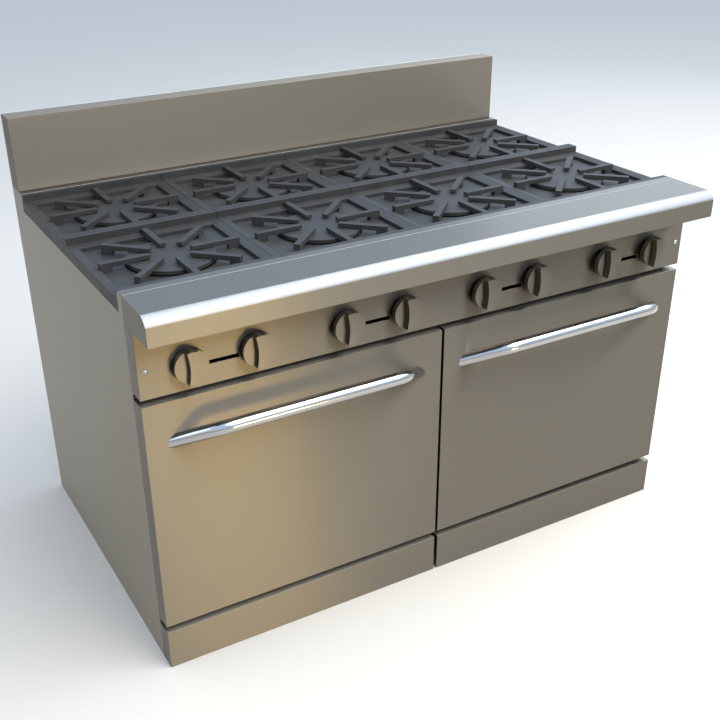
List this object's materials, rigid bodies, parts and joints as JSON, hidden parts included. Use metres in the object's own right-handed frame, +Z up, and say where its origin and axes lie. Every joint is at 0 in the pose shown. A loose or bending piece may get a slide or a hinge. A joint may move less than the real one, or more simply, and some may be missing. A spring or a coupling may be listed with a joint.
{
  "type": "commercial gas range",
  "caption": "Free-standing stainless gas range with open burners under square cast grates, twin ovens with drop-down doors, landing ledge and low backguard.",
  "frame": {"origin": "centre of the base on the floor, halfway between the nose of the landing ledge and the end of the gas inlet", "axes": "+X to the right seen from the front, +Y from the front towards the back, +Z up"},
  "size_m": [1.2192, 0.8436, 0.9135],
  "materials": {
    "stainless": "brushed",
    "galvanised": "dull",
    "enamel": "gloss enamel",
    "aluminised": "matt",
    "blanket": "fibrous",
    "seal": "woven",
    "polished": "polished",
    "rack_wire": "bright",
    "cast_iron": "as cast",
    "grate_iron": "porcelained",
    "knob_metal": "satin",
    "black_pipe": "black",
    "brass": "cast",
    "control_body": "die cast",
    "dial": "matt"
  },
  "bodies": {
    "range": {"side_panel_left": "stainless", "side_panel_right": "stainless", "front_rail": "stainless", "rear_ledge": "stainless", "landing_ledge": "stainless", "control_panel": "stainless", "backguard": "stainless", "back_panel": "galvanised", "front_frame": "galvanised", "backguard_rear_cover": "galvanised", "burner_box": "galvanised", "base_frame": "galvanised", "hinge_brackets": "galvanised", "oven_liner_left": "enamel", "oven_liner_right": "enamel", "oven_decks": "enamel", "oven_flues": "aluminised", "oven_burners": "aluminised", "rack_guides": "aluminised", "oven_insulation": "blanket", "panel_screws": "polished", "top_burners": "cast_iron", "burner_caps": "cast_iron", "gas_manifold": "black_pipe", "gas_valves": "brass", "thermostats": "control_body"},
    "door_left": {"door_outer_left": "stainless", "door_inner_left": "enamel", "door_gasket_left": "seal", "door_handle_left": "polished", "door_hinge_arms_left": "galvanised"},
    "kick_left": {"kick_plate_left": "stainless"},
    "tray_left": {"crumb_tray_left": "galvanised"},
    "rack_left": {"oven_rack_left": "rack_wire"},
    "dial_left": {"thermostat_dial_left": "dial"},
    "door_right": {"door_outer_right": "stainless", "door_inner_right": "enamel", "door_gasket_right": "seal", "door_handle_right": "polished", "door_hinge_arms_right": "galvanised"},
    "kick_right": {"kick_plate_right": "stainless"},
    "tray_right": {"crumb_tray_right": "galvanised"},
    "rack_right": {"oven_rack_right": "rack_wire"},
    "dial_right": {"thermostat_dial_right": "dial"},
    "knob_1": {"knob_1": "knob_metal"},
    "knob_2": {"knob_2": "knob_metal"},
    "knob_3": {"knob_3": "knob_metal"},
    "knob_4": {"knob_4": "knob_metal"},
    "knob_5": {"knob_5": "knob_metal"},
    "knob_6": {"knob_6": "knob_metal"},
    "knob_7": {"knob_7": "knob_metal"},
    "knob_8": {"knob_8": "knob_metal"},
    "grate_front_1": {"grate_front_1": "grate_iron"},
    "grate_front_2": {"grate_front_2": "grate_iron"},
    "grate_front_3": {"grate_front_3": "grate_iron"},
    "grate_front_4": {"grate_front_4": "grate_iron"},
    "grate_rear_1": {"grate_rear_1": "grate_iron"},
    "grate_rear_2": {"grate_rear_2": "grate_iron"},
    "grate_rear_3": {"grate_rear_3": "grate_iron"},
    "grate_rear_4": {"grate_rear_4": "grate_iron"}
  },
  "joints": [
    {"name": "door_left_hinge", "type": "hinge", "parent": "range", "child": "door_left", "pos_m": [-0.3048, -0.33165, 0.108], "axis": [1, 0, 0], "range_deg": [0, 90], "stiffness_Nm_per_rad": 8, "springref_deg": -20.05},
    {"name": "kick_left_lift_off", "type": "slide", "parent": "range", "child": "kick_left", "axis": [0, -1, 0], "range_m": [0, 0.1]},
    {"name": "tray_left_slide", "type": "slide", "parent": "range", "child": "tray_left", "axis": [0, -1, 0], "range_m": [0, 0.45]},
    {"name": "rack_left_slide", "type": "slide", "parent": "range", "child": "rack_left", "axis": [0, -1, 0], "range_m": [0, 0.04]},
    {"name": "dial_left_turn", "type": "hinge", "parent": "range", "child": "dial_left", "pos_m": [-0.3048, -0.30165, 0.0505], "axis": [0, -1, 0], "range_deg": [0, 270]},
    {"name": "door_right_hinge", "type": "hinge", "parent": "range", "child": "door_right", "pos_m": [0.3048, -0.33165, 0.108], "axis": [1, 0, 0], "range_deg": [0, 90], "stiffness_Nm_per_rad": 8, "springref_deg": -20.05},
    {"name": "kick_right_lift_off", "type": "slide", "parent": "range", "child": "kick_right", "axis": [0, -1, 0], "range_m": [0, 0.1]},
    {"name": "tray_right_slide", "type": "slide", "parent": "range", "child": "tray_right", "axis": [0, -1, 0], "range_m": [0, 0.45]},
    {"name": "rack_right_slide", "type": "slide", "parent": "range", "child": "rack_right", "axis": [0, -1, 0], "range_m": [0, 0.04]},
    {"name": "dial_right_turn", "type": "hinge", "parent": "range", "child": "dial_right", "pos_m": [0.3048, -0.30165, 0.0505], "axis": [0, -1, 0], "range_deg": [0, 270]},
    {"name": "knob_1_turn", "type": "hinge", "parent": "range", "child": "knob_1", "pos_m": [-0.5197, -0.36165, 0.6335], "axis": [0, -1, 0], "range_deg": [0, 90]},
    {"name": "knob_2_turn", "type": "hinge", "parent": "range", "child": "knob_2", "pos_m": [-0.3947, -0.36165, 0.6335], "axis": [0, -1, 0], "range_deg": [0, 90]},
    {"name": "knob_3_turn", "type": "hinge", "parent": "range", "child": "knob_3", "pos_m": [-0.2149, -0.36165, 0.6335], "axis": [0, -1, 0], "range_deg": [0, 90]},
    {"name": "knob_4_turn", "type": "hinge", "parent": "range", "child": "knob_4", "pos_m": [-0.0899, -0.36165, 0.6335], "axis": [0, -1, 0], "range_deg": [0, 90]},
    {"name": "knob_5_turn", "type": "hinge", "parent": "range", "child": "knob_5", "pos_m": [0.0899, -0.36165, 0.6335], "axis": [0, -1, 0], "range_deg": [0, 90]},
    {"name": "knob_6_turn", "type": "hinge", "parent": "range", "child": "knob_6", "pos_m": [0.2149, -0.36165, 0.6335], "axis": [0, -1, 0], "range_deg": [0, 90]},
    {"name": "knob_7_turn", "type": "hinge", "parent": "range", "child": "knob_7", "pos_m": [0.3947, -0.36165, 0.6335], "axis": [0, -1, 0], "range_deg": [0, 90]},
    {"name": "knob_8_turn", "type": "hinge", "parent": "range", "child": "knob_8", "pos_m": [0.5197, -0.36165, 0.6335], "axis": [0, -1, 0], "range_deg": [0, 90]},
    {"name": "grate_front_1_lift", "type": "slide", "parent": "range", "child": "grate_front_1", "axis": [0, 0, 1], "range_m": [0, 0.15]},
    {"name": "grate_front_2_lift", "type": "slide", "parent": "range", "child": "grate_front_2", "axis": [0, 0, 1], "range_m": [0, 0.15]},
    {"name": "grate_front_3_lift", "type": "slide", "parent": "range", "child": "grate_front_3", "axis": [0, 0, 1], "range_m": [0, 0.15]},
    {"name": "grate_front_4_lift", "type": "slide", "parent": "range", "child": "grate_front_4", "axis": [0, 0, 1], "range_m": [0, 0.15]},
    {"name": "grate_rear_1_lift", "type": "slide", "parent": "range", "child": "grate_rear_1", "axis": [0, 0, 1], "range_m": [0, 0.15]},
    {"name": "grate_rear_2_lift", "type": "slide", "parent": "range", "child": "grate_rear_2", "axis": [0, 0, 1], "range_m": [0, 0.15]},
    {"name": "grate_rear_3_lift", "type": "slide", "parent": "range", "child": "grate_rear_3", "axis": [0, 0, 1], "range_m": [0, 0.15]},
    {"name": "grate_rear_4_lift", "type": "slide", "parent": "range", "child": "grate_rear_4", "axis": [0, 0, 1], "range_m": [0, 0.15]}
  ]
}
